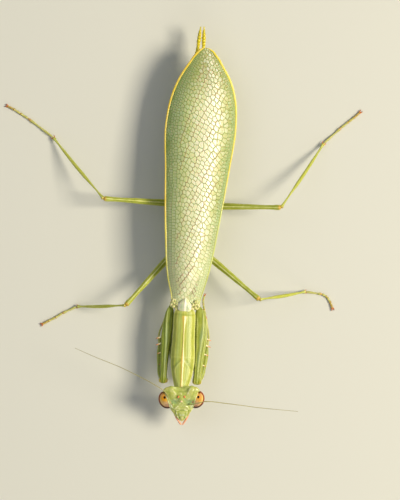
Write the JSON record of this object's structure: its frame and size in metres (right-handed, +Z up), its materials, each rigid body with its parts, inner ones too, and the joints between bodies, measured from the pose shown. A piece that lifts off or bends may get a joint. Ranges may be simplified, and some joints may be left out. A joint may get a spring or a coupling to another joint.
{
  "type": "praying mantis",
  "caption": "Still life-size praying mantis with folded net-veined green wings, closed front legs and spread walking legs, resting flat on its feet.",
  "frame": {"origin": "middle of the underside of the bounding box, at the level that the feet rest on", "axes": "+Y towards the tail along the body, +X towards the insect's left, +Z up; the head faces -Y"},
  "size_m": [0.0316, 0.0352, 0.0054],
  "materials": {
    "body": "satin yellow-green cuticle",
    "soft_body": "satin pale green cuticle",
    "leg": "satin yellow-green cuticle with paler streaks",
    "foot": "satin yellow-green turning rust brown at the toes",
    "tegmen": "glossy cream cells in a green net of veins",
    "hindwing": "clear glossy membrane",
    "eye": "polished amber with a maroon rim",
    "feeler": "satin olive brown",
    "palp": "satin pink",
    "cercus": "satin bright yellow"
  },
  "bodies": {
    "root": {"head": "body", "eye_right": "eye", "eye_left": "eye", "palp_right": "palp", "palp_left": "palp", "antenna_right": "feeler", "antenna_left": "feeler", "neck": "soft_body", "prothorax": "body", "mesothorax": "soft_body", "metathorax": "soft_body", "abdomen": "soft_body", "tegmen_right": "tegmen", "tegmen_left": "tegmen", "hindwing_right": "hindwing", "hindwing_left": "hindwing", "cercus_right": "cercus", "cercus_left": "cercus", "fore_coxa_right": "leg", "fore_trochanter_right": "leg", "fore_femur_right": "leg", "fore_tibia_right": "leg", "fore_tarsus_right": "foot", "fore_coxa_left": "leg", "fore_trochanter_left": "leg", "fore_femur_left": "leg", "fore_tibia_left": "leg", "fore_tarsus_left": "foot", "middle_right_coxa": "leg", "middle_right_femur": "leg", "middle_right_tibia": "leg", "middle_right_tarsus": "foot", "middle_left_coxa": "leg", "middle_left_femur": "leg", "middle_left_tibia": "leg", "middle_left_tarsus": "foot", "hind_right_coxa": "leg", "hind_right_femur": "leg", "hind_right_tibia": "leg", "hind_right_tarsus": "foot", "hind_left_coxa": "leg", "hind_left_femur": "leg", "hind_left_tibia": "leg", "hind_left_tarsus": "foot"}
  },
  "joints": []
}
